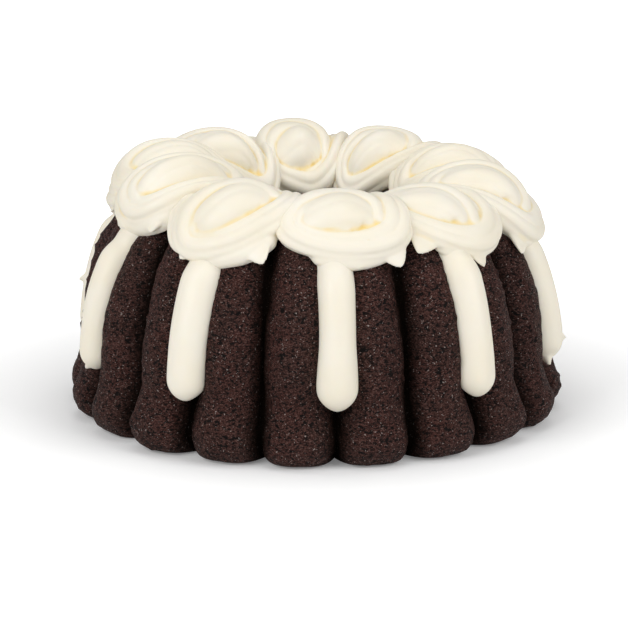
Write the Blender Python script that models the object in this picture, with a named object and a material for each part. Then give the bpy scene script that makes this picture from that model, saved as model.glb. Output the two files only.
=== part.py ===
"""A fluted bundt cake with piped icing, standing on its wide foot.

The cake is one ring with a hole through it. Its side has twenty round flutes, and each
flute ends at the foot in a bulging toe. A smooth rope of icing lies down every second
groove, and a swirled rosette of icing sits over the top of each rope.
The origin is the centre of the underside, +Z is up, and the first rope faces -Y.
"""

import math

import bpy
from mathutils import Vector

# Driving sizes, in metres.
FOOT_RADIUS = 0.125
NECK_RADIUS = 0.1195
NECK_HEIGHT = 0.028
CROWN_RADIUS = 0.075
CROWN_HEIGHT = 0.1095
TOE_RADIUS = 0.0125
HOLE_FOOT_RADIUS = 0.031
HOLE_CHAMFER = 0.0015
HOLE_TOP_RADIUS = 0.0375
HOLE_TOP_HEIGHT = 0.0625
SHOULDER_POWER = 2.1

# Turns, in degrees, of the rings that make the shoulder, the toe and the lip of the hole.
SHOULDER_TURNS = (15, 30, 46, 56, 67, 78, 90)
TOE_TURNS = (38, 0, -45, -90)
LIP_TURNS = (90, 66, 44, 22)
FULL_DEPTH_TURN = 66

FLUTES = 20
COLUMNS_PER_FLUTE = 6
GROOVE_DEPTH = 0.0128
CROWN_GROOVE_DEPTH = 0.0045
HOLE_GROOVE_DEPTH = 0.0012

GAP = 0.0003

ROPES = 10
ROPE_HALF_WIDTH = 0.0086
ROPE_RISE = 0.0056
ROPE_SINK = 0.0026
ROPE_CLEARANCE = 0.0006
# How the rope swells and then closes: distance back from the tip in half widths, and width.
ROPE_TIP = ((1.0, 1.1), (0.5, 1.0), (0.18, 0.75), (0.0, 0.35))
ROPE_TOP_TURNS = (20, 60, 90, 120, 160)
ROPE_TIP_HEIGHTS = (0.0290, 0.0285, 0.0310, 0.0290, 0.0300, 0.0285, 0.0320, 0.0300, 0.0310, 0.0295)
ROPE_WIDTHS = (1.0, 0.95, 0.97, 1.0, 0.96, 1.03, 1.0, 0.97, 1.02, 1.04)

ROSETTE_TURN = math.radians(3.0)
ROSETTE_HALF_ANGLE = math.radians(17.75)
ROSETTE_BULGE = math.radians(2.5)
ROSETTE_POWER = 3.2
ROSETTE_EDGE = 0.0055
ROSETTE_RIDGE = 0.0022
ROSETTE_RIM = 0.25
ROSETTE_EDGE_CLEARANCE = 0.0017
ROSETTE_MIDDLE_CLEARANCE = 0.0026
ROSETTE_RINGS = 7
ROSETTE_SECTORS = 20
ROSETTE_SWIRL_TURNS = 2.0
ROSETTE_EYE = (0.42, 0.10)
ROSETTE_RISES = (0.0120, 0.0115, 0.0130, 0.0145, 0.0155, 0.0175, 0.0150, 0.0145, 0.0140, 0.0130)
INNER_REACH = -0.0245
OUTER_REACHES = (0.0345, 0.0385, 0.0370, 0.0340, 0.0335, 0.0340, 0.0335, 0.0330, 0.0325, 0.0335)

CAKE_COLOUR = (0.028, 0.013, 0.010, 1.0)
ICING_COLOUR = (0.88, 0.80, 0.60, 1.0)


def material(name, colour, roughness):
    """A plain Principled material for one kind of food."""
    made = bpy.data.materials.new(name)
    made.use_nodes = True
    shader = made.node_tree.nodes["Principled BSDF"]
    shader.inputs["Base Color"].default_value = colour
    shader.inputs["Roughness"].default_value = roughness
    shader.inputs["Metallic"].default_value = 0.0
    made.diffuse_color = colour
    return made


def smooth(value):
    """0 to 1 with level ends."""
    held = min(max(value, 0.0), 1.0)
    return held * held * (3.0 - 2.0 * held)


def shoulder_point(side_radius, side_height, turn):
    """A point of the rounded shoulder, from its crown at turn 0 to its side at 90 degrees."""
    power = 2.0 / SHOULDER_POWER
    radius = CROWN_RADIUS + (side_radius - CROWN_RADIUS) * math.sin(turn) ** power
    height = side_height + (CROWN_HEIGHT - side_height) * math.cos(turn) ** power
    return radius, height


def crest_profile():
    """Radius, height and groove depth of each ring, from the crown out, down, under and back up."""
    rings = [(CROWN_RADIUS, CROWN_HEIGHT, CROWN_GROOVE_DEPTH)]
    for degrees in SHOULDER_TURNS:
        radius, height = shoulder_point(NECK_RADIUS, NECK_HEIGHT, math.radians(degrees))
        share = smooth(degrees / FULL_DEPTH_TURN)
        depth = CROWN_GROOVE_DEPTH + (GROOVE_DEPTH - CROWN_GROOVE_DEPTH) * share
        rings.append((radius, height, depth))
    for degrees in TOE_TURNS:
        turn = math.radians(degrees)
        radius = FOOT_RADIUS - TOE_RADIUS + TOE_RADIUS * math.cos(turn)
        rings.append((radius, TOE_RADIUS + TOE_RADIUS * math.sin(turn), GROOVE_DEPTH))
    rings.append((HOLE_FOOT_RADIUS + HOLE_CHAMFER, 0.0, 0.0))
    rings.append((HOLE_FOOT_RADIUS, HOLE_CHAMFER, 0.0))
    for degrees in LIP_TURNS:
        radius, height = shoulder_point(HOLE_TOP_RADIUS, HOLE_TOP_HEIGHT, math.radians(degrees))
        share = smooth(degrees / FULL_DEPTH_TURN)
        depth = CROWN_GROOVE_DEPTH + (HOLE_GROOVE_DEPTH - CROWN_GROOVE_DEPTH) * share
        rings.append((radius, height, depth))
    return rings


RINGS = crest_profile()
NECK_INDEX = len(SHOULDER_TURNS)
LAST_INNER_INDEX = len(RINGS) - len(LIP_TURNS)


def groove_share(azimuth):
    """1 in the middle of a groove and 0 on the crest of a flute. One groove faces -Y."""
    pitch = 2.0 * math.pi / FLUTES
    from_groove = abs((azimuth / pitch + 0.5) % 1.0 - 0.5)
    return (1.0 - 2.0 * from_groove) ** 2


def outward(index):
    """Unit normal (radial, vertical) of the crest profile at a ring."""
    before = RINGS[index - 1]
    after = RINGS[(index + 1) % len(RINGS)]
    along = Vector((after[0] - before[0], after[1] - before[1])).normalized()
    return Vector((-along.y, along.x))


def ring_section(index, azimuth, fluted=True):
    """Radius and height of a ring at an azimuth, as a 2D vector."""
    radius, height, depth = RINGS[index]
    if not fluted:
        return Vector((radius, height))
    sunk = depth * groove_share(azimuth)
    normal = outward(index)
    if NECK_INDEX <= index < LAST_INNER_INDEX - 1:
        normal = Vector((1.0, 0.0))
    return Vector((radius, height)) - normal * sunk


def stations():
    """Distance along the crest from the crown to each shoulder ring: outward is positive."""
    found = {0: 0.0}
    for index in range(1, NECK_INDEX + 1):
        step = math.dist(RINGS[index][:2], RINGS[index - 1][:2])
        found[index] = found[index - 1] + step
    reached = 0.0
    for index in range(len(RINGS) - 1, LAST_INNER_INDEX - 1, -1):
        reached -= math.dist(RINGS[index][:2], RINGS[(index + 1) % len(RINGS)][:2])
        found[index] = reached
    return sorted((station, index) for index, station in found.items())


STATIONS = stations()


def skin(azimuth, station, lift, fluted=True):
    """The point at a lift above the cake's surface, at a distance along it from the crown."""
    for (low, low_ring), (high, high_ring) in zip(STATIONS, STATIONS[1:]):
        if station <= high:
            break
    share = (station - low) / (high - low)
    section = ring_section(low_ring, azimuth, fluted).lerp(ring_section(high_ring, azimuth, fluted), share)
    normal = outward(low_ring).lerp(outward(high_ring), share).normalized()
    section += normal * lift
    return Vector((math.sin(azimuth) * section.x, -math.cos(azimuth) * section.x, section.y))


def station_at_height(height):
    """The outer shoulder's station at a height."""
    outer = [(station, RINGS[index][1]) for station, index in STATIONS if station >= 0.0]
    for (low, low_height), (high, high_height) in zip(outer, outer[1:]):
        if height >= high_height:
            return low + (high - low) * (low_height - height) / (low_height - high_height)
    return outer[-1][0]


def solid(name, points, faces, food, collection):
    """One closed mesh object, shaded smooth except at its sharp folds."""
    mesh = bpy.data.meshes.new(name)
    mesh.from_pydata(points, [], faces)
    mesh.materials.append(food)
    mesh.shade_smooth()
    mesh.set_sharp_from_angle(angle=math.radians(50))
    made = bpy.data.objects.new(name, mesh)
    collection.objects.link(made)
    return made


def band(first, second, count):
    """The quads between two rings of points, given by the index of their first points."""
    quads = []
    for step in range(count):
        after = (step + 1) % count
        quads.append((first + step, second + step, second + after, first + after))
    return quads


def cake_body(food, collection):
    """The ring of cake: rings of unlike section, from scalloped at the foot to round in the hole."""
    columns = FLUTES * COLUMNS_PER_FLUTE
    points = []
    faces = []
    for index in range(len(RINGS)):
        for column in range(columns):
            azimuth = 2.0 * math.pi * column / columns
            section = ring_section(index, azimuth)
            points.append((math.sin(azimuth) * section.x, -math.cos(azimuth) * section.x, section.y))
        following = (index + 1) % len(RINGS)
        faces += band(index * columns, following * columns, columns)
    return solid("cake_body", points, faces, food, collection)


def outline_point(turn, inner, outer):
    """Azimuth from the rosette's middle, and station, of its outline at a turn about its middle."""
    fullness = abs(math.cos(turn)) ** ROSETTE_POWER + abs(math.sin(turn)) ** ROSETTE_POWER
    across = math.cos(turn) / fullness ** (1.0 / ROSETTE_POWER)
    down = math.sin(turn) / fullness ** (1.0 / ROSETTE_POWER)
    middle = 0.5 * (inner + outer)
    reach = 0.5 * (outer - inner)
    azimuth = ROSETTE_HALF_ANGLE * across + ROSETTE_BULGE * (1.0 - down * down)
    return azimuth, middle + reach * down


def rosette_edge(azimuth, outer):
    """Station of the rosette's outer edge at an azimuth from its middle."""
    best = None
    for step in range(1, 180):
        at, station = outline_point(math.radians(step), INNER_REACH, outer)
        if best is None or abs(at - azimuth) < best[0]:
            best = (abs(at - azimuth), station)
    return best[1]


def rope_section(azimuth, station_at, width, rise):
    """One closed section of a rope: a foot that follows the groove and an oval top."""
    radius = skin(azimuth, station_at(0.0), 0.0, fluted=False).xy.length
    edge = width / radius
    column = 2.0 * math.pi / (FLUTES * COLUMNS_PER_FLUTE)
    inner = column if edge > column * 1.05 else edge * 0.5
    points = []
    for offset in (-edge, -inner, 0.0, inner, edge):
        points.append(skin(azimuth + offset, station_at(offset), ROPE_CLEARANCE))
    for degrees in ROPE_TOP_TURNS:
        turn = math.radians(degrees)
        offset = edge * math.cos(turn)
        height = (rise + ROPE_SINK) * math.sin(turn) - ROPE_SINK
        points.append(skin(azimuth + offset, station_at(offset), height, fluted=False))
    return points


def rope(number, food, collection):
    """A rope of icing down one groove, from the edge of its rosette to a round tip."""
    azimuth = 2.0 * math.pi * number / ROPES
    width = ROPE_HALF_WIDTH * ROPE_WIDTHS[number]
    tip = station_at_height(ROPE_TIP_HEIGHTS[number])
    top_edge = OUTER_REACHES[number]
    inside = [station for station, index in STATIONS if top_edge < station < tip - width * ROPE_TIP[0][0]]

    def below_rosette(offset):
        return rosette_edge(offset - ROSETTE_TURN, top_edge) + GAP * 2

    # The top end follows the edge of the rosette above it.
    sections = [rope_section(azimuth, below_rosette, width, ROPE_RISE)]
    for station in inside:
        sections.append(rope_section(azimuth, lambda offset: station, width, ROPE_RISE))
    for back, share in ROPE_TIP:
        station = tip - width * back
        rise = ROPE_RISE * (1.0 + 3.0 * share) / 4.0
        sections.append(rope_section(azimuth, lambda offset: station, width * share, rise))
    points = [point for section in sections for point in section]
    count = len(sections[0])
    faces = [tuple(range(count - 1, -1, -1))]
    for index in range(len(sections) - 1):
        faces += [quad[::-1] for quad in band(index * count, (index + 1) * count, count)]
    last = (len(sections) - 1) * count
    faces.append(tuple(range(last, last + count)))
    return solid(f"rope_{number:02d}", points, faces, food, collection)


def rosette(number, food, collection):
    """A swirl of icing over the shoulder: rings about its eye, with a ridge that winds outward."""
    middle = 2.0 * math.pi * number / ROPES + ROSETTE_TURN
    outer = OUTER_REACHES[number]
    eye_azimuth = ROSETTE_EYE[0] * ROSETTE_HALF_ANGLE
    eye_station = 0.5 * (INNER_REACH + outer) + ROSETTE_EYE[1] * 0.5 * (outer - INNER_REACH)

    def place(share, turn, lift):
        azimuth, station = outline_point(turn, INNER_REACH, outer)
        azimuth = eye_azimuth + (azimuth - eye_azimuth) * share
        station = eye_station + (station - eye_station) * share
        return skin(middle + azimuth, station, lift, fluted=False)

    turns = [2.0 * math.pi * step / ROSETTE_SECTORS for step in range(ROSETTE_SECTORS)]
    points = []
    for ring in range(ROSETTE_RINGS, 0, -1):
        share = ring / ROSETTE_RINGS
        dome = ROSETTE_EDGE + (ROSETTE_RISES[number] - ROSETTE_EDGE) * math.sqrt(1.0 - share**3)
        for turn in turns:
            wind = math.cos(2.0 * math.pi * ROSETTE_SWIRL_TURNS * share - turn)
            ridge = ROSETTE_RIDGE * wind * smooth((1.0 - share) / ROSETTE_RIM)
            points.append(place(share, turn, dome + ridge))
    top_eye = len(points)
    points.append(place(0.0, 0.0, ROSETTE_RISES[number] - ROSETTE_RIDGE))
    under_edge = len(points)
    points += [place(1.0, turn, ROSETTE_EDGE_CLEARANCE) for turn in turns]
    under_middle = len(points)
    points += [place(0.5, turn, ROSETTE_MIDDLE_CLEARANCE) for turn in turns]
    under_eye = len(points)
    points.append(place(0.0, 0.0, ROSETTE_MIDDLE_CLEARANCE))

    faces = []
    for ring in range(ROSETTE_RINGS - 1):
        faces += band(ring * ROSETTE_SECTORS, (ring + 1) * ROSETTE_SECTORS, ROSETTE_SECTORS)
    faces += band(under_edge, 0, ROSETTE_SECTORS)
    faces += band(under_middle, under_edge, ROSETTE_SECTORS)
    inner_ring = (ROSETTE_RINGS - 1) * ROSETTE_SECTORS
    for step in range(ROSETTE_SECTORS):
        after = (step + 1) % ROSETTE_SECTORS
        faces.append((inner_ring + step, top_eye, inner_ring + after))
        faces.append((under_middle + after, under_eye, under_middle + step))
    return solid(f"rosette_{number:02d}", points, faces, food, collection)


def main():
    for old in list(bpy.data.objects):
        bpy.data.objects.remove(old, do_unlink=True)
    collection = bpy.data.collections.new("bundt_cake")
    bpy.context.scene.collection.children.link(collection)
    cake = material("chocolate_cake", CAKE_COLOUR, 0.75)
    icing = material("cream_icing", ICING_COLOUR, 0.45)
    cake_body(cake, collection)
    for number in range(ROPES):
        rope(number, icing, collection)
        rosette(number, icing, collection)


main()
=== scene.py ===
# %% [markdown]
# # A bundt cake with piped icing
# This lesson dresses a measured model of a ring cake. The frame brings the plain solids: one
# ring of cake, ten ropes of icing and ten swirls. Each is replaced here by a finer piece in
# the same place: a baked crumb with pores, and icing with the folds that a piping bag leaves.

# %% Load the frame
import math
import random

import bpy
import numpy as np
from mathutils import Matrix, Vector


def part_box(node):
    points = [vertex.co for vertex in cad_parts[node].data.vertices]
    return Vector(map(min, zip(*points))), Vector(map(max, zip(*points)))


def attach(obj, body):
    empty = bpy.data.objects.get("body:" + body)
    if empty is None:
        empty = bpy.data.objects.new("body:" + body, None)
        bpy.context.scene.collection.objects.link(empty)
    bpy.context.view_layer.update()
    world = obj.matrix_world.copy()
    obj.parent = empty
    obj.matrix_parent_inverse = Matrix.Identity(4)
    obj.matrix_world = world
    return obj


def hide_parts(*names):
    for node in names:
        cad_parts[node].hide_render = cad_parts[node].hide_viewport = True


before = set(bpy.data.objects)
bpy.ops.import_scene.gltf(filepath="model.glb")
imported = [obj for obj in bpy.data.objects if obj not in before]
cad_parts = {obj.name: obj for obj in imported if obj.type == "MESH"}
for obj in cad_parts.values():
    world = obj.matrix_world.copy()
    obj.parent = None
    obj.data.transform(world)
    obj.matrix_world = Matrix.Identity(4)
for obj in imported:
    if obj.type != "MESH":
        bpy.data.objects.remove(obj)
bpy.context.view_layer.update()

# %% [markdown]
# ## Sizes of the cake
# A bundt cake is turned out of a pan, so its shape is a rule: one outline swept round an axis,
# with the flutes pressed into it. The outline is a rounded shoulder over a narrow neck, a round
# toe at the foot, a flat underside and a hole that widens upwards. The driving lengths come
# from the frame's box of the cake, and the others are shares of them.

# %% Named sizes
_, cake_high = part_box("cake_body")
FLUTES = 20
ROPES = 10
FLUTE_PITCH = 2.0 * math.pi / FLUTES
FOOT_RADIUS = cake_high[0] / math.cos(FLUTE_PITCH / 2.0)
CROWN_HEIGHT = cake_high[2]
NECK_RADIUS = FOOT_RADIUS * 0.956
NECK_HEIGHT = FOOT_RADIUS * 0.224
CROWN_RADIUS = FOOT_RADIUS * 0.60
TOE_RADIUS = FOOT_RADIUS * 0.10
HOLE_FOOT_RADIUS = FOOT_RADIUS * 0.248
HOLE_CHAMFER = FOOT_RADIUS * 0.012
HOLE_TOP_RADIUS = FOOT_RADIUS * 0.30
HOLE_TOP_HEIGHT = FOOT_RADIUS * 0.50
SHOULDER_POWER = 2.1
GROOVE_DEPTH = FOOT_RADIUS * 0.105
CROWN_GROOVE_DEPTH = FOOT_RADIUS * 0.040
HOLE_GROOVE_DEPTH = FOOT_RADIUS * 0.010
print("foot radius", round(FOOT_RADIUS, 4), "crown height", round(CROWN_HEIGHT, 4))

# %% [markdown]
# ## Outline of the cake
# The outline is kept as a list of points in the plane of one flute's crest. Each point also
# carries its groove: the way and the depth that the surface is pressed in between two flutes.
# On the side the groove is pressed straight inwards, and over the crown it is pressed downwards.

# %% Outline points
SHOULDER_STEPS = 74
TOE_STEPS = 22
UNDERSIDE_STEPS = 6
WALL_STEPS = 12
LIP_STEPS = 26
GROOVE_FADE_TURN = 1.15
TOE_START_TURN = math.radians(34)
TOE_GROOVE_LIFT = FOOT_RADIUS * 0.02
SHOULDER_FLUTE_POWER = 2.15
TOE_FLUTE_POWER_GAIN = 1.35


def smooth(value):
    """0 to 1 with level ends."""
    held = min(max(value, 0.0), 1.0)
    return held * held * (3.0 - 2.0 * held)


def shoulder_point(side_radius, side_height, turn):
    """Radius and height on a shoulder, from its crown at turn 0 to its side at a quarter turn."""
    power = 2.0 / SHOULDER_POWER
    radius = CROWN_RADIUS + (side_radius - CROWN_RADIUS) * max(math.sin(turn), 0.0) ** power
    height = side_height + (CROWN_HEIGHT - side_height) * max(math.cos(turn), 0.0) ** power
    return radius, height


def quarter(step, steps):
    """The turn at one of the equal steps that make up a quarter turn."""
    return math.pi / 2.0 * step / steps


def crest_outline():
    """Points (radius, height, groove radial, groove vertical) once round the ring's section."""
    outline = []
    for step in range(SHOULDER_STEPS):
        turn = quarter(step, SHOULDER_STEPS)
        radius, height = shoulder_point(NECK_RADIUS, NECK_HEIGHT, turn)
        depth = CROWN_GROOVE_DEPTH + (GROOVE_DEPTH - CROWN_GROOVE_DEPTH) * smooth(turn / GROOVE_FADE_TURN)
        outline.append((radius, height, -depth * math.sin(turn), -depth * math.cos(turn)))
    for step in range(TOE_STEPS + 1):
        turn = TOE_START_TURN + (-math.pi / 2.0 - TOE_START_TURN) * step / TOE_STEPS
        radius = FOOT_RADIUS - TOE_RADIUS + TOE_RADIUS * math.cos(turn)
        height = TOE_RADIUS + TOE_RADIUS * math.sin(turn)
        lift = TOE_GROOVE_LIFT * max(0.0, -math.sin(turn)) * max(0.0, math.cos(turn))
        outline.append((radius, height, -GROOVE_DEPTH, lift))
    toe_inside = FOOT_RADIUS - TOE_RADIUS - GROOVE_DEPTH
    for step in range(1, UNDERSIDE_STEPS + 1):
        share = step / UNDERSIDE_STEPS
        radius = toe_inside + (HOLE_FOOT_RADIUS + HOLE_CHAMFER - toe_inside) * share
        outline.append((radius, 0.0, 0.0, 0.0))
    for step in range(WALL_STEPS):
        share = step / WALL_STEPS
        radius = HOLE_FOOT_RADIUS + (HOLE_TOP_RADIUS - HOLE_FOOT_RADIUS) * share
        outline.append((radius, HOLE_CHAMFER + (HOLE_TOP_HEIGHT - HOLE_CHAMFER) * share, 0.0, 0.0))
    for step in range(LIP_STEPS, 0, -1):
        turn = quarter(step, LIP_STEPS)
        radius, height = shoulder_point(HOLE_TOP_RADIUS, HOLE_TOP_HEIGHT, turn)
        faded = smooth(turn / GROOVE_FADE_TURN)
        depth = CROWN_GROOVE_DEPTH + (HOLE_GROOVE_DEPTH - CROWN_GROOVE_DEPTH) * faded
        outline.append((radius, height, depth * math.sin(turn), -depth * math.cos(turn)))
    return outline


def flute_power(radius, height):
    """How square the flutes are: round on the shoulder, fuller at the toes."""
    at_toe = smooth((NECK_HEIGHT * 1.3 - height) / NECK_HEIGHT) * smooth(radius / CROWN_RADIUS)
    return SHOULDER_FLUTE_POWER + TOE_FLUTE_POWER_GAIN * at_toe


OUTLINE = crest_outline()
print("outline points:", len(OUTLINE))

# %% [markdown]
# ## Helpers for Geometry Nodes
# A node tree is a recipe that Blender cooks on demand. Each tree below is built by these helpers,
# used once with its named sizes, and turned into a plain mesh, so that nothing is left to cook.

# %% Node helpers
def new_tree(name, inputs):
    """An empty geometry tree with a geometry socket at each end and these named inputs."""
    tree = bpy.data.node_groups.new(name, "GeometryNodeTree")
    tree.interface.new_socket("Geometry", in_out="INPUT", socket_type="NodeSocketGeometry")
    for title, kind in inputs:
        tree.interface.new_socket(title, in_out="INPUT", socket_type=kind)
    tree.interface.new_socket("Geometry", in_out="OUTPUT", socket_type="NodeSocketGeometry")
    return tree


def feed(tree, socket, value):
    """Link a socket to another, or set its value."""
    if isinstance(value, bpy.types.NodeSocket):
        tree.links.new(value, socket)
    else:
        socket.default_value = value


def add(tree, kind, **inputs):
    """A node with its inputs fed by name, with _ for a space, or by number, as in i0."""
    node = tree.nodes.new(kind)
    for title, value in inputs.items():
        key = int(title[1:]) if title[0] == "i" and title[1:].isdigit() else title.replace("_", " ")
        feed(tree, node.inputs[key], value)
    return node


def maths(tree, operation, first, second=None, third=None):
    """The result of one Math node."""
    node = tree.nodes.new("ShaderNodeMath")
    node.operation = operation
    for socket, value in zip(node.inputs, (first, second, third)):
        if value is not None:
            feed(tree, socket, value)
    return node.outputs[0]


def vector_maths(tree, operation, first, second=None, scale=None):
    """The result of one Vector Math node."""
    node = tree.nodes.new("ShaderNodeVectorMath")
    node.operation = operation
    feed(tree, node.inputs[0], first)
    if second is not None:
        feed(tree, node.inputs[1], second)
    if scale is not None:
        feed(tree, node.inputs["Scale"], scale)
    return node.outputs["Vector"]


def named(tree, title, kind):
    """The value of a named attribute."""
    node = tree.nodes.new("GeometryNodeInputNamedAttribute")
    node.data_type = kind
    node.inputs["Name"].default_value = title
    return node.outputs["Attribute"]


def cooked(source, tree, name, settings):
    """Run a tree on an object, and return the result as a plain mesh object in its place."""
    modifier = source.modifiers.new(tree.name, "NODES")
    modifier.node_group = tree
    for item in tree.interface.items_tree:
        if item.item_type == "SOCKET" and item.in_out == "INPUT" and item.name in settings:
            modifier[item.identifier] = settings[item.name]
    return plain(source, name)


def plain(source, name):
    """The object with its modifiers applied, as a new plain mesh object. The source is removed."""
    graph = bpy.context.evaluated_depsgraph_get()
    mesh = bpy.data.meshes.new_from_object(source.evaluated_get(graph))
    bpy.data.objects.remove(source, do_unlink=True)
    mesh.name = name
    made = bpy.data.objects.new(name, mesh)
    bpy.context.scene.collection.objects.link(made)
    return made


def polyline(name, points, floats=(), vectors=(), closed=False):
    """A mesh of joined points that carries named numbers or vectors on each point."""
    mesh = bpy.data.meshes.new(name)
    count = len(points)
    edges = [(step, step + 1) for step in range(count - 1)]
    if closed:
        edges.append((count - 1, 0))
    mesh.from_pydata([tuple(point) for point in points], edges, [])
    for title, values in dict(floats).items():
        attribute = mesh.attributes.new(title, "FLOAT", "POINT")
        attribute.data.foreach_set("value", np.array(values, np.float32))
    for title, values in dict(vectors).items():
        attribute = mesh.attributes.new(title, "FLOAT_VECTOR", "POINT")
        attribute.data.foreach_set("vector", np.array(values, np.float32).ravel())
    made = bpy.data.objects.new(name, mesh)
    bpy.context.scene.collection.objects.link(made)
    return made


print("helpers for node trees are ready")

# %% [markdown]
# ## Helpers for materials
# A finish is a small tree of nodes as well. These helpers make its common parts: soft noise, a
# value carried from one range to another, a mix of two colours, and bumps that catch the light.

# %% Material helpers
def new_material(name):
    """A material with its Principled shader, and a reader of the object's own coordinates."""
    made = bpy.data.materials.new(name)
    made.use_nodes = True
    tree = made.node_tree
    shader = tree.nodes["Principled BSDF"]
    place = tree.nodes.new("ShaderNodeTexCoord").outputs["Object"]
    return made, tree, shader, place


def noise(tree, place, scale, detail=2.0, roughness=0.5):
    """Soft random numbers from 0 to 1, with about this many waves in a metre."""
    node = tree.nodes.new("ShaderNodeTexNoise")
    feed(tree, node.inputs["Vector"], place)
    node.inputs["Scale"].default_value = scale
    node.inputs["Detail"].default_value = detail
    node.inputs["Roughness"].default_value = roughness
    return node.outputs["Fac"]


def cells(tree, place, scale):
    """The distance to the nearest of many scattered points, about this many in a metre."""
    node = tree.nodes.new("ShaderNodeTexVoronoi")
    feed(tree, node.inputs["Vector"], place)
    node.inputs["Scale"].default_value = scale
    return node.outputs["Distance"]


def span(tree, value, low, high, to_low=0.0, to_high=1.0):
    """A value carried from one range to another, held at the ends."""
    node = tree.nodes.new("ShaderNodeMapRange")
    feed(tree, node.inputs["Value"], value)
    ends = {"From Min": low, "From Max": high, "To Min": to_low, "To Max": to_high}
    for title, number in ends.items():
        node.inputs[title].default_value = number
    return node.outputs["Result"]


def blend(tree, share, first, second):
    """A mix of two colours. The node keeps its colour sockets at 6 and 7, and its result at 2."""
    node = tree.nodes.new("ShaderNodeMix")
    node.data_type = "RGBA"
    feed(tree, node.inputs[0], share)
    feed(tree, node.inputs[6], first)
    feed(tree, node.inputs[7], second)
    return node.outputs[2]


def bump(tree, height, distance, strength, under=None):
    """The surface direction after these bumps, laid over the bumps under them."""
    node = tree.nodes.new("ShaderNodeBump")
    feed(tree, node.inputs["Height"], height)
    node.inputs["Distance"].default_value = distance
    node.inputs["Strength"].default_value = strength
    if under is not None:
        feed(tree, node.inputs["Normal"], under)
    return node.outputs["Normal"]


print("helpers for materials are ready")

# %% [markdown]
# ## Crumb material
# Chocolate crumb is a warm reddish brown where light catches it, and its pores are painted almost
# black as painted shade. It is moist, so tiny facets glint, and a pale painted highlight is mixed
# into the colour at each glint. Noises of several sizes do this: broad changes of bake, pits of
# about three millimetres, crumbs of about two, and a grain of about one millimetre that makes the
# pale facets. The grooves carry a number, `groove`, that darkens them with painted shade.

# %% The crumb
CRUMB_BROWN = (0.070, 0.0275, 0.0215, 1.0)
CRUMB_RED = (0.088, 0.0300, 0.0235, 1.0)
CRUMB_PALE = (0.170, 0.1000, 0.0850, 1.0)
# Painted shade: the near-black colour of the pores and pits.
CRUMB_PORE_PAINTED_SHADE = (0.0045, 0.0022, 0.0018, 1.0)
# Painted highlight: the pale colour of the glints.
CRUMB_PAINTED_GLINT = (0.42, 0.34, 0.31, 1.0)
# Painted shade: the colour at the bottom of the grooves.
GROOVE_PAINTED_SHADE = (0.0070, 0.0045, 0.0032, 1.0)
# Waves in a metre of each noise, and how the surface takes the light.
BAKE_WAVES = 45.0
PIT_WAVES = 300.0
CRUMB_WAVES = 560.0
GLINT_WAVES = 1100.0
GRAIN_WAVES = 1250.0
LAYER_STRETCH = (1.0, 1.0, 1.7)
FACET_SHARE = 0.72
CRUMB_ROUGHNESS = 0.62
GLINT_POLISH = 0.40
CRUMB_SHINE = 0.13
GLINT_SHINE = 0.6


def crumb_material():
    made, tree, shader, place = new_material("chocolate_crumb")
    layered = vector_maths(tree, "MULTIPLY", place, LAYER_STRETCH)
    bake = span(tree, noise(tree, place, BAKE_WAVES, 3.0), 0.38, 0.62)
    crumb = noise(tree, layered, CRUMB_WAVES, 3.0, 0.70)
    grain = noise(tree, layered, GRAIN_WAVES, 2.0, 0.6)
    whole = span(tree, crumb, 0.40, 0.50)
    whole = maths(tree, "MULTIPLY", whole, span(tree, grain, 0.36, 0.58, 0.20, 1.15))
    pit = noise(tree, layered, PIT_WAVES, 1.5, 0.6)
    whole = maths(tree, "MULTIPLY", whole, span(tree, pit, 0.33, 0.40))
    glint = span(tree, noise(tree, place, GLINT_WAVES, 1.0), 0.685, 0.75)
    colour = blend(tree, bake, CRUMB_BROWN, CRUMB_RED)
    facet = maths(tree, "MULTIPLY", span(tree, grain, 0.52, 0.66), FACET_SHARE)
    colour = blend(tree, facet, colour, CRUMB_PALE)
    # Painted shade: the pores and pits, where `whole` is low, are painted almost black.
    colour = blend(tree, whole, CRUMB_PORE_PAINTED_SHADE, colour)
    # Painted highlight: a pale colour is mixed into the crumb at the glints, on top of their real lower
    # roughness and higher shine.
    colour = blend(tree, glint, colour, CRUMB_PAINTED_GLINT)
    # Painted shade: towards the bottom of each groove the colour is darkened and the shine lowered.
    groove = tree.nodes.new("ShaderNodeAttribute")
    groove.attribute_name = "groove"
    shade = span(tree, groove.outputs["Fac"], 0.64, 0.94)
    feed(tree, shader.inputs["Base Color"], blend(tree, shade, colour, GROOVE_PAINTED_SHADE))
    dull = maths(tree, "SUBTRACT", CRUMB_ROUGHNESS, maths(tree, "MULTIPLY", glint, GLINT_POLISH))
    feed(tree, shader.inputs["Roughness"], dull)
    shine = maths(tree, "MULTIPLY", maths(tree, "SUBTRACT", 1.0, shade), CRUMB_SHINE)
    shine = maths(tree, "MULTIPLY_ADD", glint, GLINT_SHINE, shine)
    feed(tree, shader.inputs["Specular IOR Level"], shine)
    rough = bump(tree, grain, 0.0007, 0.6)
    rough = bump(tree, pit, 0.0022, 0.7, rough)
    feed(tree, shader.inputs["Normal"], bump(tree, crumb, 0.0026, 1.0, rough))
    return made


CRUMB = crumb_material()
print("made", CRUMB.name)

# %% [markdown]
# ## Icing material
# The icing is whipped butter and cream cheese: nearly white and satin, with a little light
# passing through it. Where two folds meet the light bounces between them and comes back warm,
# so each icing piece carries a number, `fold`, that is high in its creases and warms the colour.

# %% The icing
ICING_CREAM = (0.90, 0.835, 0.690, 1.0)
ICING_PALE = (0.92, 0.865, 0.745, 1.0)
ICING_FOLD = (0.90, 0.67, 0.19, 1.0)


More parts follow.
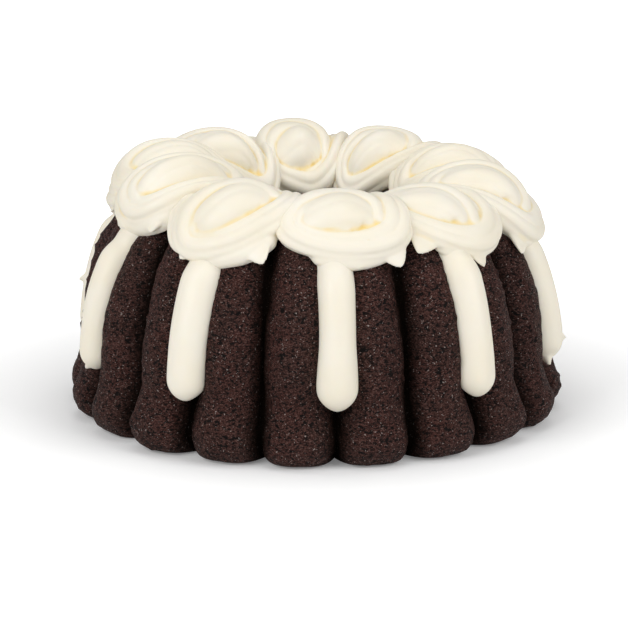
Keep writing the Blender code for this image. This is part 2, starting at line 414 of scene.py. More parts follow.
def icing_material():
    made, tree, shader, place = new_material("cream_icing")
    cloud = span(tree, noise(tree, place, 35.0, 2.0), 0.35, 0.65)
    fold = tree.nodes.new("ShaderNodeAttribute")
    fold.attribute_name = "fold"
    colour = blend(tree, cloud, ICING_CREAM, ICING_PALE)
    colour = blend(tree, fold.outputs["Fac"], colour, ICING_FOLD)
    feed(tree, shader.inputs["Base Color"], colour)
    satin = span(tree, noise(tree, place, 160.0), 0.3, 0.7, 0.40, 0.52)
    feed(tree, shader.inputs["Roughness"], satin)
    shader.inputs["Specular IOR Level"].default_value = 0.4
    shader.inputs["Subsurface Weight"].default_value = 0.15
    shader.inputs["Subsurface Radius"].default_value = (1.0, 0.75, 0.45)
    shader.inputs["Subsurface Scale"].default_value = 0.002
    feed(tree, shader.inputs["Normal"], bump(tree, noise(tree, place, 260.0), 0.0003, 0.12))
    return made


ICING = icing_material()
print("made", ICING.name)

# %% [markdown]
# ## The ring of cake
# The cake could be modelled by hand flute by flute, or turned and then cut. A rule is shorter
# and exact: the tree below lays the outline round the axis column by column, presses each
# column in by its share of groove, and then lets noise push the surface about, as baking does.
# Flutes swell a little unevenly, and burst bubbles leave pits in the crumb.

# %% Node tree of the cake
MERGE_DISTANCE = 0.00001
STILL_FOOT_HEIGHT = 0.004
SWELL_WAVES = 26.0
BUBBLE_PATCH_WAVES = 90.0
LUMP_WAVES = 170.0
BUBBLE_WAVES = 210.0


def cake_tree():
    tree = new_tree("fluted_ring", (
        ("Rows", "NodeSocketInt"),
        ("Columns", "NodeSocketInt"),
        ("Flutes", "NodeSocketInt"),
        ("Swell", "NodeSocketFloat"),
        ("Lumps", "NodeSocketFloat"),
        ("Pit Depth", "NodeSocketFloat"),
        ("Seed", "NodeSocketFloat"),
        ("Crumb", "NodeSocketMaterial"),
    ))
    given = tree.nodes.new("NodeGroupInput").outputs
    rows_and_one = maths(tree, "ADD", given["Rows"], 1)
    columns_and_one = maths(tree, "ADD", given["Columns"], 1)
    grid = add(tree, "GeometryNodeMeshGrid", Size_X=1.0, Size_Y=1.0,
               Vertices_X=columns_and_one, Vertices_Y=rows_and_one)
    spot = tree.nodes.new("GeometryNodeInputPosition").outputs[0]
    across = add(tree, "ShaderNodeSeparateXYZ", i0=spot)
    around = maths(tree, "ADD", across.outputs["X"], 0.5)
    along = maths(tree, "ADD", across.outputs["Y"], 0.5)
    row = maths(tree, "ROUND", maths(tree, "MULTIPLY", along, given["Rows"]))
    row = maths(tree, "FLOORED_MODULO", row, given["Rows"])

    def at_row(value):
        node = tree.nodes.new("GeometryNodeSampleIndex")
        node.data_type = "FLOAT_VECTOR"
        feed(tree, node.inputs["Geometry"], given["Geometry"])
        feed(tree, node.inputs["Value"], value)
        feed(tree, node.inputs["Index"], row)
        return node.outputs[0]

    outline = at_row(tree.nodes.new("GeometryNodeInputPosition").outputs[0])
    groove = at_row(named(tree, "groove", "FLOAT_VECTOR"))
    turn = maths(tree, "MULTIPLY", around, 2.0 * math.pi)
    in_flute = maths(tree, "FRACT", maths(tree, "ADD", maths(tree, "MULTIPLY", around, given["Flutes"]), 0.5))
    from_groove = maths(tree, "ABSOLUTE", maths(tree, "SUBTRACT", in_flute, 0.5))
    share = maths(tree, "SUBTRACT", 1.0, maths(tree, "MULTIPLY", from_groove, 2.0))
    share = maths(tree, "POWER", share, add(tree, "ShaderNodeSeparateXYZ", i0=groove).outputs["Y"])
    inward = vector_maths(tree, "MULTIPLY", groove, (1.0, 0.0, 1.0))
    section = vector_maths(tree, "ADD", outline, vector_maths(tree, "SCALE", inward, scale=share))
    flat = add(tree, "ShaderNodeSeparateXYZ", i0=section).outputs
    x = maths(tree, "MULTIPLY", flat["X"], maths(tree, "SINE", turn))
    y = maths(tree, "MULTIPLY", flat["X"], maths(tree, "MULTIPLY", maths(tree, "COSINE", turn), -1.0))
    place = add(tree, "ShaderNodeCombineXYZ", X=x, Y=y, Z=flat["Z"]).outputs[0]
    # Closeness to the groove, which the crumb material reads to paint shade into the grooves.
    keep = tree.nodes.new("GeometryNodeStoreNamedAttribute")
    keep.data_type = "FLOAT"
    keep.domain = "POINT"
    keep.inputs["Name"].default_value = "groove"
    feed(tree, keep.inputs["Geometry"], grid.outputs["Mesh"])
    feed(tree, keep.inputs["Value"], maths(tree, "SUBTRACT", 1.0, maths(tree, "MULTIPLY", from_groove, 2.0)))
    ring = add(tree, "GeometryNodeSetPosition", Geometry=keep.outputs[0], Position=place)
    ring = add(tree, "GeometryNodeMergeByDistance", Geometry=ring.outputs[0], Distance=MERGE_DISTANCE)

    here = tree.nodes.new("GeometryNodeInputPosition").outputs[0]
    normal = tree.nodes.new("GeometryNodeInputNormal").outputs["Normal"]
    height = add(tree, "ShaderNodeSeparateXYZ", i0=here).outputs["Z"]
    off_base = span(tree, height, 0.0, STILL_FOOT_HEIGHT)
    moved = vector_maths(tree, "ADD", here, add(tree, "ShaderNodeCombineXYZ", X=given["Seed"]).outputs[0])
    swell = maths(tree, "SUBTRACT", noise(tree, moved, SWELL_WAVES, 1.0), 0.5)
    lumps = maths(tree, "SUBTRACT", noise(tree, moved, LUMP_WAVES, 2.0), 0.5)
    pit = maths(tree, "SUBTRACT", span(tree, cells(tree, moved, BUBBLE_WAVES), 0.12, 0.46), 1.0)
    gate = span(tree, noise(tree, moved, BUBBLE_PATCH_WAVES, 1.0), 0.42, 0.62)
    push = maths(tree, "MULTIPLY", swell, given["Swell"])
    push = maths(tree, "MULTIPLY_ADD", lumps, given["Lumps"], push)
    push = maths(tree, "MULTIPLY_ADD", maths(tree, "MULTIPLY", pit, gate), given["Pit Depth"], push)
    push = maths(tree, "MULTIPLY", push, off_base)
    offset = vector_maths(tree, "SCALE", normal, scale=push)
    ring = add(tree, "GeometryNodeSetPosition", Geometry=ring.outputs[0], Offset=offset)
    ring = add(tree, "GeometryNodeSetShadeSmooth", Geometry=ring.outputs[0])
    ring = add(tree, "GeometryNodeRealizeInstances", Geometry=ring.outputs[0])
    ring = add(tree, "GeometryNodeSetMaterial", Geometry=ring.outputs[0], Material=given["Crumb"])
    out = tree.nodes.new("NodeGroupOutput")
    feed(tree, out.inputs[0], ring.outputs[0])
    return tree


CAKE_TREE = cake_tree()
print("the cake's tree has", len(CAKE_TREE.nodes), "nodes")

# %% [markdown]
# ## Baking the cake
# The outline goes in as a closed line of points that carry their groove, and the tree turns it
# into the ring. Each flute is 32 columns wide, enough to keep its round back and sharp groove.

# %% Bake the cake
COLUMNS_IN_A_FLUTE = 32
CAKE_COLUMNS = FLUTES * COLUMNS_IN_A_FLUTE

outline_object = polyline(
    "cake_outline",
    [(radius, 0.0, height) for radius, height, _, _ in OUTLINE],
    vectors={"groove": [
        (inward, flute_power(radius, height), down) for radius, height, inward, down in OUTLINE
    ]},
    closed=True,
)
cake = cooked(outline_object, CAKE_TREE, "cake_crumb", {
    "Rows": len(OUTLINE),
    "Columns": CAKE_COLUMNS,
    "Flutes": FLUTES,
    "Swell": 0.0050,
    "Lumps": 0.0016,
    "Pit Depth": 0.0011,
    "Seed": 3.0,
    "Crumb": CRUMB,
})
print("cake faces:", len(cake.data.polygons))

# %% [markdown]
# ## Places on the cake
# Icing is piped along the cake's surface, so its paths are given as a turn round the axis, a
# distance along the outline from the crown and a height above it. This cell turns those three
# numbers into a point.

# %% Surface places
SURFACE_STEPS = 200


def shoulder_table():
    """Distance from the crown, radius, height and outward direction along the shoulder and lip."""
    turns = [quarter(step, SURFACE_STEPS) for step in range(SURFACE_STEPS + 1)]
    outer = [shoulder_point(NECK_RADIUS, NECK_HEIGHT, turn) for turn in turns]
    inner = [shoulder_point(HOLE_TOP_RADIUS, HOLE_TOP_HEIGHT, turn) for turn in turns[:0:-1]]
    line = np.array(inner + outer)
    step = np.linalg.norm(np.diff(line, axis=0), axis=1)
    distance = np.concatenate([[0.0], np.cumsum(step)])
    distance -= distance[len(inner)]
    along = np.gradient(line, axis=0)
    along /= np.linalg.norm(along, axis=1)[:, None]
    return distance, line, np.stack([-along[:, 1], along[:, 0]], 1)


DISTANCE, LINE, OUTWARD = shoulder_table()


def on_cake(azimuth, distance, lift):
    """The point at this turn, distance down the shoulder and height above the crests."""
    radius = np.interp(distance, DISTANCE, LINE[:, 0])
    height = np.interp(distance, DISTANCE, LINE[:, 1])
    out = np.interp(distance, DISTANCE, OUTWARD[:, 0])
    up = np.interp(distance, DISTANCE, OUTWARD[:, 1])
    reach = radius + out * lift
    return Vector((math.sin(azimuth) * reach, -math.cos(azimuth) * reach, height + up * lift))


def distance_at_height(height):
    """The distance down the outer shoulder at which it has this height."""
    outer = DISTANCE >= 0.0
    return float(np.interp(-height, -LINE[outer, 1], DISTANCE[outer]))


print("shoulder from", round(DISTANCE[0], 4), "to", round(DISTANCE[-1], 4), "metres from the crown")

# %% [markdown]
# ## Piped icing
# A piping bag pushes icing out of a tip as one long bead. The tip's outline gives the bead its
# section: a plain round tip leaves a smooth rope, and an open star leaves soft bands with a
# crease between each two. So one tree serves both: it sweeps a lobed circle along a path that
# carries the bead's radius and its twist.

# %% Node tree of a bead of icing
def bead_tree():
    tree = new_tree("piped_bead", (
        ("Bands", "NodeSocketFloat"),
        ("Crease", "NodeSocketFloat"),
        ("Section Points", "NodeSocketInt"),
        ("Icing", "NodeSocketMaterial"),
    ))
    given = tree.nodes.new("NodeGroupInput").outputs
    path = add(tree, "GeometryNodeMeshToCurve", Mesh=given["Geometry"]).outputs[0]
    twist = named(tree, "twist", "FLOAT")
    path = add(tree, "GeometryNodeSetCurveTilt", Curve=path, Tilt=twist).outputs[0]
    bead = named(tree, "bead", "FLOAT")
    tip = add(tree, "GeometryNodeCurvePrimitiveCircle", Resolution=given["Section Points"], Radius=1.0)
    here = tree.nodes.new("GeometryNodeInputPosition").outputs[0]
    flat = add(tree, "ShaderNodeSeparateXYZ", i0=here).outputs
    turn = maths(tree, "ARCTAN2", flat["Y"], flat["X"])
    wave = maths(tree, "SINE", maths(tree, "MULTIPLY", turn, maths(tree, "MULTIPLY", given["Bands"], 0.5)))
    wave = maths(tree, "POWER", maths(tree, "ABSOLUTE", wave), 0.75)
    sunk = maths(tree, "MULTIPLY", given["Crease"], maths(tree, "SUBTRACT", 1.0, wave))
    shape = vector_maths(tree, "SCALE", here, scale=maths(tree, "SUBTRACT", 1.0, sunk))
    tip = add(tree, "GeometryNodeSetPosition", Geometry=tip.outputs[0], Position=shape)
    sweep = tree.nodes.new("GeometryNodeCurveToMesh")
    feed(tree, sweep.inputs["Scale"], bead)
    feed(tree, sweep.inputs["Curve"], path)
    feed(tree, sweep.inputs["Profile Curve"], tip.outputs[0])
    sweep.inputs["Fill Caps"].default_value = True
    whole = add(tree, "GeometryNodeSetShadeSmooth", Geometry=sweep.outputs[0])
    whole = add(tree, "GeometryNodeRealizeInstances", Geometry=whole.outputs[0])
    whole = add(tree, "GeometryNodeSetMaterial", Geometry=whole.outputs[0], Material=given["Icing"])
    out = tree.nodes.new("NodeGroupOutput")
    feed(tree, out.inputs[0], whole.outputs[0])
    return tree


BEAD = bead_tree()
print("the bead's tree has", len(BEAD.nodes), "nodes")


def pipe(name, points, beads, twists, bands, crease, section_points):
    """One bead of icing along these points."""
    path = polyline(name + "_path", points, floats={"bead": beads, "twist": twists})
    return cooked(path, BEAD, name, {
        "Bands": float(bands),
        "Crease": crease,
        "Section Points": section_points,
        "Icing": ICING,
    })


# %% [markdown]
# ## Melting beads together
# Where a bead lies on itself the icing flows into one mass with a crease left between. A voxel
# remesh does the same to the mesh: it keeps the outer skin of all that overlaps. A little
# smoothing then softens the creases, and the `fold` number is measured from how hollow the skin
# is at each point.

# %% Melt and measure folds
def joined(name, parts):
    """Several meshes as one object."""
    points = []
    faces = []
    for part in parts:
        start = len(points)
        points += [vertex.co[:] for vertex in part.data.vertices]
        faces += [[start + index for index in polygon.vertices] for polygon in part.data.polygons]
        bpy.data.objects.remove(part, do_unlink=True)
    mesh = bpy.data.meshes.new(name)
    mesh.from_pydata(points, [], faces)
    made = bpy.data.objects.new(name, mesh)
    bpy.context.scene.collection.objects.link(made)
    return made


def melted(lump, name, voxel, softening):
    """The outer skin of a lump of overlapping beads, softened."""
    remesh = lump.modifiers.new("melt", "REMESH")
    remesh.mode = "VOXEL"
    remesh.voxel_size = voxel
    remesh.use_smooth_shade = True
    soften = lump.modifiers.new("soften", "SMOOTH")
    soften.factor = 0.5
    soften.iterations = softening
    made = plain(lump, name)
    made.data.materials.clear()
    made.data.materials.append(ICING)
    return made


def hollowness(mesh, spread):
    """How far each point lies below its neighbours, in metres, evened out over a few rings."""
    count = len(mesh.vertices)
    points = np.empty(count * 3)
    normals = np.empty(count * 3)
    ends = np.empty(len(mesh.edges) * 2, np.int64)
    mesh.vertices.foreach_get("co", points)
    mesh.vertices.foreach_get("normal", normals)
    mesh.edges.foreach_get("vertices", ends)
    points = points.reshape(-1, 3)
    normals = normals.reshape(-1, 3)
    first, second = ends.reshape(-1, 2).T
    both = np.concatenate([first, second])
    other = np.concatenate([second, first])
    neighbours = np.maximum(np.bincount(both, minlength=count), 1)

    def around(values):
        return np.bincount(both, values[other], count) / neighbours

    wide = points
    for _ in range(spread):
        wide = np.stack([around(wide[:, axis]) for axis in range(3)], 1)
    hollow = np.einsum("ij,ij->i", wide - points, normals)
    for _ in range(4):
        hollow = around(hollow)
    return hollow


FOLD_START = 0.00007
FOLD_FULL = 0.00042


def mark_folds(piece):
    """Store the fold number that the icing material reads."""
    hollow = hollowness(piece.data, 10)
    fold = np.clip((hollow - FOLD_START) / (FOLD_FULL - FOLD_START), 0.0, 1.0)
    attribute = piece.data.attributes.new("fold", "FLOAT", "POINT")
    attribute.data.foreach_set("value", fold.astype(np.float32))


def steady(seed):
    """A source of random numbers that gives the same ones each time."""
    return random.Random(seed)


print("a fold starts", FOLD_START, "metres below its neighbours and is full at", FOLD_FULL)

# %% [markdown]
# ## Ropes of icing
# Each rope is piped from the crown down a groove with a plain round tip, and stops just above
# the toes, where the bag is pressed a moment and leaves a fuller end. Some ends keep a small
# point where the tip was pulled away.

# %% Pipe the ropes
ROPE_RADIUS = 0.0083
ROPE_LIFT = -0.0022
ROPE_START = 0.015
ROPE_STEPS = 90
ROPE_VOXEL = 0.0009
ROPE_SOFTENING = 4
ROPE_SECTION_POINTS = 40
ROPE_CROWDING = 1.35
ROPE_WOBBLE = 0.007
ROPE_SWAY = 0.003
ROPE_TIP_SINK = 0.002
ROPE_TOP_SINK = 0.0028
ROPE_TOP_END = 0.046
ROPE_TOP_FADE = 0.010
PULL_OFF_STEPS = 14
PULL_OFF_RADIUS = 0.0032
# For each rope: how thick, how full its end, how far its top and its tip lean to the right in
# radians, and the pull-off points on it as (share of the way down, turn round the bead in
# degrees, length).
ROPE_HABITS = (
    (1.04, 1.12, 0.000, 0.000, ()),
    (1.11, 1.02, -0.016, -0.018, ()),
    (1.15, 1.00, -0.055, -0.025, ((0.97, -60, 0.007), (0.76, 15, 0.007))),
    (1.05, 1.08, 0.014, 0.000, ()),
    (1.00, 1.06, -0.012, 0.006, ()),
    (1.06, 1.08, 0.010, 0.000, ((0.99, -60, 0.006),)),
    (1.02, 1.12, -0.008, 0.004, ()),
    (0.98, 1.05, -0.010, 0.000, ((0.52, 20, 0.008),)),
    (1.10, 0.98, 0.055, 0.034, ((1.0, -60, 0.007),)),
    (1.16, 0.98, 0.034, 0.000, ()),
)


def pull_off(name, start, way, length, radius, bluntness=0.8):
    """A small point of icing where the tip was pulled away."""
    steps = PULL_OFF_STEPS
    points = [start + way * length * step / (steps - 1) for step in range(steps)]
    beads = [radius * (1.0 - step / (steps - 1)) ** bluntness + 0.0003 for step in range(steps)]
    return pipe(name, points, beads, [0.0] * steps, 0, 0.0, 16)


def rope_of_icing(number):
    thick, full, top_lean, tip_lean, points_left = ROPE_HABITS[number]
    chance = steady(40 + number)
    low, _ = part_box(f"rope_{number:02d}")
    azimuth = 2.0 * math.pi * number / ROPES
    tip = distance_at_height(low[2])
    waves = [(chance.uniform(0.5, 1.5), chance.uniform(0.0, 6.3)) for _ in range(3)]
    points = []
    beads = []
    for step in range(ROPE_STEPS):
        share = step / (ROPE_STEPS - 1)
        share = 1.0 - (1.0 - share) ** ROPE_CROWDING
        radius = ROPE_RADIUS * thick
        end = radius * full
        reach = ROPE_START + (tip - ROPE_START) * share
        back = tip - reach
        closing = math.sqrt(max(0.0, 1.0 - max(0.0, 1.0 - back / end) ** 2))
        swell = 1.0 + (full - 1.0) * smooth(1.0 - (back - end) / (end * 2.5))
        wobble = sum(math.sin(share * 9.0 * rate + phase) for rate, phase in waves) * ROPE_WOBBLE
        bead = radius * swell * (1.0 + wobble) * closing
        sway = tip_lean + (top_lean - tip_lean) * (1.0 - share)
        sway = sway + ROPE_SWAY * math.sin(share * 5.0 + waves[0][1])
        under_swirl = smooth((ROPE_TOP_END - reach) / ROPE_TOP_FADE)
        lift = ROPE_LIFT - (1.0 - closing) * ROPE_TIP_SINK - ROPE_TOP_SINK * under_swirl
        points.append(on_cake(azimuth + sway, reach, lift))
        beads.append(max(bead, 0.0002))
    parts = [pipe(f"rope_{number:02d}_bead", points, beads, [0.0] * ROPE_STEPS, 0, 0.0, ROPE_SECTION_POINTS)]
    for index, (share, turn, length) in enumerate(points_left):
        at = min(int(share * (ROPE_STEPS - 1)), ROPE_STEPS - 12)
        outward = Vector((math.sin(azimuth), -math.cos(azimuth), 0.0))
        side = Vector((math.cos(azimuth), math.sin(azimuth), 0.0))
        aim = math.radians(turn)
        way = (outward * math.cos(aim) + side * math.sin(aim)).normalized()
        way = (way + Vector((0.0, 0.0, -0.8 if share > 0.9 else -0.25))).normalized()
        start = points[at] + way * beads[at] * 0.55
        parts.append(pull_off(f"rope_{number:02d}_point_{index}", start, way, length, PULL_OFF_RADIUS))
    lump = joined(f"rope_{number:02d}_lump", parts)
    rope = melted(lump, f"icing_rope_{number:02d}", ROPE_VOXEL, ROPE_SOFTENING)
    mark_folds(rope)
    return rope


ropes = [rope_of_icing(number) for number in range(ROPES)]
print("rope faces:", [len(rope.data.polygons) for rope in ropes])

# %% [markdown]
# ## Swirls of icing
# A swirl is piped over the top of each rope with an open star tip. The bag starts low at the
# left, runs round the back, curls down over the right and comes home along the front. The bead
# then climbs on itself, sweeps over the top and closes on an eye near the outer right. It is
# simplest to pipe it flat, as on a bench, and then to lay it over the cake's shoulder: the
# third number of each place is the height above the crests. The piper's wrist keeps its
# direction while the cake stays still, so the pattern is turned back by the swirl's own place
# on the ring, and the folds of all ten curl the same way.

# %% Places that the bag passes over
# Millimetres to the right, down the outside and up, and the bead's radius there.
BAG_PLACES = (
    (-24.0, 26.0, 0.0, 4.5),
    (-27.0, 11.0, 0.5, 8.5),
    (-23.0, -12.0, 1.6, 9.4),
    (-10.0, -22.5, 2.2, 9.8),
    (8.0, -23.0, 2.3, 9.8),
    (21.0, -13.0, 2.6, 10.2),
    (25.5, 4.0, 3.2, 10.4),
    (22.5, 18.0, 3.2, 9.4),
    (9.5, 25.0, 3.3, 8.0),
    (-8.0, 25.5, 3.0, 7.4),
    (-20.5, 19.5, 2.6, 8.0),
    (-20.0, 8.0, 3.6, 10.2),
    (-9.0, 1.0, 4.8, 12.4),
    (4.0, 0.5, 5.0, 13.0),
    (14.0, 5.0, 4.8, 11.4),
    (17.5, 12.5, 4.2, 8.2),
    (14.5, 18.0, 3.4, 5.6),
)
# The filling under the turns, and the thin lip along the outer edge, in the same numbers. The
# lip isn't turned with the wrist, because it lies on the outside of every swirl.
FILLING_PLACES = (
    (
        (-16.0, -6.0, 1.6, 7.0),
        (-6.0, -10.0, 2.6, 10.0),
        (6.0, -10.0, 2.8, 10.2),
        (15.0, -5.0, 2.2, 7.5),
    ),
    (
        (-19.0, 15.0, 2.2, 7.0),
        (-10.0, 12.0, 4.0, 11.6),
        (1.0, 9.0, 4.8, 13.2),
        (10.0, 11.0, 3.8, 10.6),
        (14.5, 15.5, 2.2, 6.4),
    ),
)
LIP_PLACES = (
    (-16.0, 28.0, 0.2, 4.2),
    (-6.0, 30.5, 0.2, 5.2),
    (6.0, 31.0, 0.3, 5.4),
    (18.0, 26.5, 0.3, 5.8),
    (26.0, 17.0, 0.4, 5.2),
)
MILLIMETRE = 0.001
SWIRL_TURN = math.radians(3.0)
SWIRL_STEPS = 190
SWIRL_BANDS = 7
SWIRL_CREASE = 0.14
SWIRL_UNDERSIDE = -0.0012
SWIRL_FAN_RADIUS = 0.088
PATTERN_MIDDLE = 2.0
FLAP_THINNESS = 0.38
FLAP_HEIGHT = 2.6
FILLING_STEPS = 40
FILLING_CREASE = 0.06
SWIRL_VOXEL = 0.0006
SWIRL_SOFTENING = 3
SWIRL_SECTION_POINTS = 84
FILLING_SECTION_POINTS = 56
LIP_SECTION_POINTS = 32
LIP_SHAKE = 1.2
SWIRL_TWIST = 1.2
SWIRL_END_SHARE = 0.05
CLIMB_GAIN = 1.2
CLIMB_FROM = 0.8
UNDERSIDE_SQUEEZE = 0.2
# For each swirl: width, depth, fullness, millimetres outward, turn of the star tip, and its
# flaps. A flap is a pointed lip of icing at the edge: its place, its direction in degrees from
# the right towards the front, its length and its width at the root.
SWIRL_HABITS = (
    (1.00, 1.00, 0.80, 0.0, 0.3, ((5.0, 22.0, 92, 15.0, 9.0), (17.0, 20.0, 72, 18.5, 12.0))),
    (1.02, 1.02, 0.71, 0.0, 1.1, ((3.0, 24.0, 85, 19.0, 10.0), (-17.0, 20.0, 130, 15.0, 10.0))),
    (1.12, 1.00, 0.92, 5.0, 2.0, ((-14.0, 22.0, 122, 19.0, 12.0),)),
    (0.98, 1.00, 1.00, 2.0, 0.7, ((6.0, 21.0, 80, 16.0, 10.0),)),
    (1.04, 1.00, 1.13, -3.0, 1.7, ((-6.0, 21.0, 95, 16.0, 10.0),)),
    (1.04, 1.00, 1.22, -4.5, 2.6, ((10.0, 21.0, 80, 16.0, 10.0),)),
    (1.02, 0.98, 1.20, -5.0, 0.1, ((0.0, 22.0, 90, 15.0, 10.0),)),
    (0.98, 0.98, 1.20, -5.0, 1.4, ((12.0, 20.0, 70, 16.0, 10.0),)),
    (0.98, 0.98, 1.20, -7.0, 0.9, ((-6.0, 22.0, 100, 15.0, 10.0), (16.0, 20.0, 70, 15.0, 10.0))),
    (1.02, 1.00, 0.93, 0.0, 2.2, ((15.0, 20.0, 58, 17.5, 11.0), (-7.0, 22.0, 115, 16.0, 10.0))),
)

print("each swirl's bag passes over", len(BAG_PLACES), "places")

# %% [markdown]
# ## From the bench to the cake
# A curve through a few places makes a smooth path. The swirl is piped and melted flat, and then
# each of its points is moved to the shoulder: its right becomes a turn round the axis, its down
# a distance along the outline, and its height a rise above the crests.

# %% Pipe the swirls
def through(places, steps):
    """A smooth path through these places, with this many points."""
    places = np.array(places)
    rail = np.vstack([2.0 * places[0] - places[1], places, 2.0 * places[-1] - places[-2]])
    made = []
    for step in range(steps):
        place = (len(places) - 1) * step / (steps - 1)
        index = min(int(place), len(places) - 2)
        share = place - index
        before, here, there, after = rail[index:index + 4]
        made.append(0.5 * (
            2.0 * here + (there - before) * share
            + (2.0 * before - 5.0 * here + 4.0 * there - after) * share ** 2
            + (3.0 * here - before - 3.0 * there + after) * share ** 3
        ))
    return np.array(made)


def bench(right, down, up):
    """A place on the bench, in millimetres, as a point in metres."""
    return Vector((right, -down, up)) * MILLIMETRE


def drape(piece, azimuth, outward):
    """Lay a piece from the bench over the cake's shoulder, moved this far outward."""
    count = len(piece.data.vertices)
    points = np.empty(count * 3)
    piece.data.vertices.foreach_get("co", points)
    right, back, up = points.reshape(-1, 3).T
    up = np.where(up < SWIRL_UNDERSIDE, SWIRL_UNDERSIDE + (up - SWIRL_UNDERSIDE) * UNDERSIDE_SQUEEZE, up)
    down = outward - back
    radius = np.interp(down, DISTANCE, LINE[:, 0])
    height = np.interp(down, DISTANCE, LINE[:, 1])
    out = np.interp(down, DISTANCE, OUTWARD[:, 0])
    rise = np.interp(down, DISTANCE, OUTWARD[:, 1])
    turn = azimuth + right / (0.35 * radius + 0.65 * SWIRL_FAN_RADIUS)
    reach = radius + out * up
    laid = np.stack([np.sin(turn) * reach, -np.cos(turn) * reach, height + rise * up], 1)
    piece.data.vertices.foreach_set("co", laid.ravel())
    piece.data.update()


def swirl_of_icing(number):
    wide, deep, full, outward, star_turn, flaps = SWIRL_HABITS[number]
    climb = 1.0 + CLIMB_GAIN * max(full - CLIMB_FROM, 0.0)
    chance = steady(70 + number)
    azimuth = 2.0 * math.pi * number / ROPES + SWIRL_TURN
    wrist = math.sin(azimuth), math.cos(azimuth)

    def held(place, shake):
        """A place turned with the wrist, made wider or deeper, and shaken a little."""
        right, down, up, bead = place
        aside = right * wrist[1] - (down - PATTERN_MIDDLE) * wrist[0]
        along = right * wrist[0] + (down - PATTERN_MIDDLE) * wrist[1]
        return (
            aside * wide + chance.uniform(-shake, shake),
            PATTERN_MIDDLE + along * deep + chance.uniform(-shake, shake),
            up * climb + chance.uniform(-shake, shake) * 0.3,
            bead * (1.0 + 0.05 * chance.uniform(-shake, shake)),
        )

    path = through([held(place, 1.0) for place in BAG_PLACES], SWIRL_STEPS)
    points = [bench(*place[:3]) for place in path]
    beads = []
    twists = []
    for step, place in enumerate(path):
        share = step / (SWIRL_STEPS - 1)
        ends = smooth(share / SWIRL_END_SHARE) ** 0.5 * smooth((1.0 - share) / SWIRL_END_SHARE) ** 0.5
        beads.append(max(place[3] * MILLIMETRE * ends, 0.0004))
        twists.append(star_turn + SWIRL_TWIST * share)
    name = f"swirl_{number:02d}"
    parts = [pipe(name + "_bead", points, beads, twists, SWIRL_BANDS, SWIRL_CREASE, SWIRL_SECTION_POINTS)]
    for index, row in enumerate(FILLING_PLACES):
        filling = through([held(place, 0.0) for place in row], FILLING_STEPS)
        core = [bench(*place[:3]) for place in filling]
        sizes = list(filling[:, 3] * MILLIMETRE)
        turns = [star_turn] * FILLING_STEPS
        parts.append(pipe(f"{name}_core_{index}", core, sizes, turns,
                          SWIRL_BANDS, FILLING_CREASE, FILLING_SECTION_POINTS))
    shaken = [
        (right, down + chance.uniform(-LIP_SHAKE, LIP_SHAKE), up, bead) for right, down, up, bead in LIP_PLACES
    ]
    lip = through(shaken, FILLING_STEPS)
    edge = [bench(*place[:3]) for place in lip]
    last = FILLING_STEPS - 1
    sizes = []
    for step, place in enumerate(lip):
        fullness = 0.4 + 0.6 * smooth(8.0 * min(step, last - step) / last)
        sizes.append(place[3] * MILLIMETRE * fullness)
    parts.append(pipe(name + "_lip", edge, sizes, [0.0] * FILLING_STEPS, 0, 0.0, LIP_SECTION_POINTS))
    for index, (right, down, turn, length, thick) in enumerate(flaps):
        aim = math.radians(turn)
        way = Vector((math.cos(aim), -math.sin(aim), 0.0))
        start = bench(right, down, FLAP_HEIGHT)
        reach = length * MILLIMETRE
        flap = pull_off(f"{name}_flap_{index}", start, way, reach, thick * MILLIMETRE, 0.72)
        for vertex in flap.data.vertices:
            vertex.co.z = start.z + (vertex.co.z - start.z) * FLAP_THINNESS
        parts.append(flap)
    lump = joined(name + "_lump", parts)
    for vertex in lump.data.vertices:
        vertex.co.z *= full
    swirl = melted(lump, f"icing_swirl_{number:02d}", SWIRL_VOXEL, SWIRL_SOFTENING)
    mark_folds(swirl)
    drape(swirl, azimuth, outward * MILLIMETRE)
    return swirl


swirls = [swirl_of_icing(number) for number in range(ROPES)]
print("swirl faces:", [len(swirl.data.polygons) for swirl in swirls])

# %% [markdown]
# ## Ride and replace
# Every piece rides on the one body and stands for its solid.

# %% Hand the pieces to the frame
def hand_over(piece, node):
    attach(piece, "root")
    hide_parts(node)


hand_over(cake, "cake_body")
for number in range(ROPES):
    hand_over(ropes[number], f"rope_{number:02d}")
    hand_over(swirls[number], f"rosette_{number:02d}")
print("handed over", 1 + len(ropes) + len(swirls), "pieces")

# %% [markdown]
# ## Floor and background
# The cake stands on a plain white floor in a white room. Far from the cake the floor also glows
# for the camera, so that it meets the background with no edge, and near it the shadow stays.

# %% Floor and background
def backdrop_material():
    made, tree, shader, place = new_material("white_floor")
    shader.inputs["Base Color"].default_value = (0.93, 0.93, 0.93, 1.0)
    shader.inputs["Roughness"].default_value = 0.9
    shader.inputs["Specular IOR Level"].default_value = 0.1
    seen_directly = tree.nodes.new("ShaderNodeLightPath").outputs["Is Camera Ray"]
    away = tree.nodes.new("ShaderNodeVectorMath")
    away.operation = "LENGTH"
    feed(tree, away.inputs[0], place)
    glow = span(tree, away.outputs["Value"], 0.125, 0.42, 0.14, 1.0)
    shader.inputs["Emission Color"].default_value = (1.0, 1.0, 1.0, 1.0)
    feed(tree, shader.inputs["Emission Strength"], maths(tree, "MULTIPLY", seen_directly, glow))
    return made


FLOOR_SIZE = 6.0
floor_mesh = bpy.data.meshes.new("floor")
corner = FLOOR_SIZE / 2.0
floor_mesh.from_pydata(
    [(-corner, -corner, 0.0), (corner, -corner, 0.0), (corner, corner, 0.0), (-corner, corner, 0.0)],
    [], [(0, 1, 2, 3)],
)
floor_mesh.materials.append(backdrop_material())
floor = bpy.data.objects.new("floor", floor_mesh)
bpy.context.scene.collection.objects.link(floor)

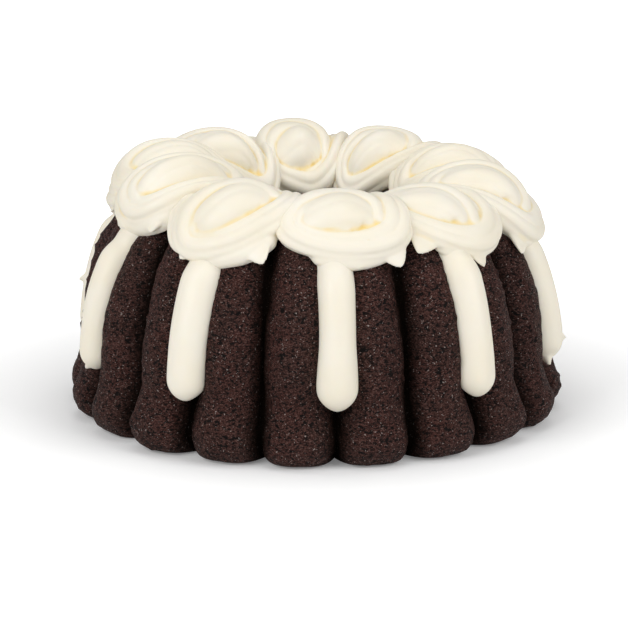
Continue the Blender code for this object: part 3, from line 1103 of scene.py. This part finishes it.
world = bpy.data.worlds.new("soft_white")
bpy.context.scene.world = world
world.use_nodes = True
sky = world.node_tree
background = sky.nodes["Background"]
background.inputs["Color"].default_value = (1.0, 1.0, 1.0, 1.0)
seen = sky.nodes.new("ShaderNodeLightPath").outputs["Is Camera Ray"]
WORLD_LIGHT = 0.35
feed(sky, background.inputs["Strength"], span(sky, seen, 0.0, 1.0, WORLD_LIGHT, 1.0))
print("the room lights the cake at", WORLD_LIGHT)

# %% [markdown]
# ## Lamps
# Soft light comes from large lamps. There is one on each side, a little in front, and a weaker
# one overhead. The left one is the stronger, which keeps the round of the flutes readable.

# %% Lamps
LAMP_SIZE = 0.9


def lamp(name, place, aim, power):
    light = bpy.data.lights.new(name, "AREA")
    light.shape = "SQUARE"
    light.size = LAMP_SIZE
    light.energy = power
    light.color = (1.0, 1.0, 1.0)
    made = bpy.data.objects.new(name, light)
    made.location = place
    made.rotation_euler = (Vector(aim) - Vector(place)).to_track_quat("-Z", "Y").to_euler()
    bpy.context.scene.collection.objects.link(made)


AIM = (0.0, 0.0, 0.06)
lamp("left_lamp", (-1.0, -0.9, 0.8), AIM, 9.8)
lamp("right_lamp", (1.0, -0.8, 0.8), AIM, 7.8)
lamp("top_lamp", (0.0, 0.1, 1.3), AIM, 3.5)
print("lamps:", [light.name for light in bpy.data.lights])

# %% [markdown]
# ## Camera
# A long lens from far away shows the cake with little perspective. The camera stands a little to
# the left of the front, and looks down by 13 and a half degrees.

# %% Camera
CAMERA_LENS = 126.1
CAMERA_SHIFT = -0.0022
CAMERA_TURN = math.radians(-5.0)
CAMERA_DISTANCE = FOOT_RADIUS * 8.7
CAMERA_HEIGHT = FOOT_RADIUS * 2.457
CAMERA_DOWN = math.radians(13.53)
camera_data = bpy.data.cameras.new("camera")
camera_data.lens = CAMERA_LENS
camera_data.sensor_width = 36.0
camera_data.shift_x = CAMERA_SHIFT
camera = bpy.data.objects.new("camera", camera_data)
camera.location = (
    math.sin(CAMERA_TURN) * CAMERA_DISTANCE,
    -math.cos(CAMERA_TURN) * CAMERA_DISTANCE,
    CAMERA_HEIGHT,
)
camera.rotation_euler = (math.pi / 2.0 - CAMERA_DOWN, 0.0, CAMERA_TURN)
bpy.context.scene.collection.objects.link(camera)
bpy.context.scene.camera = camera
bpy.context.scene.view_settings.view_transform = "Standard"
print("camera", round(CAMERA_DISTANCE, 3), "metres from the axis")
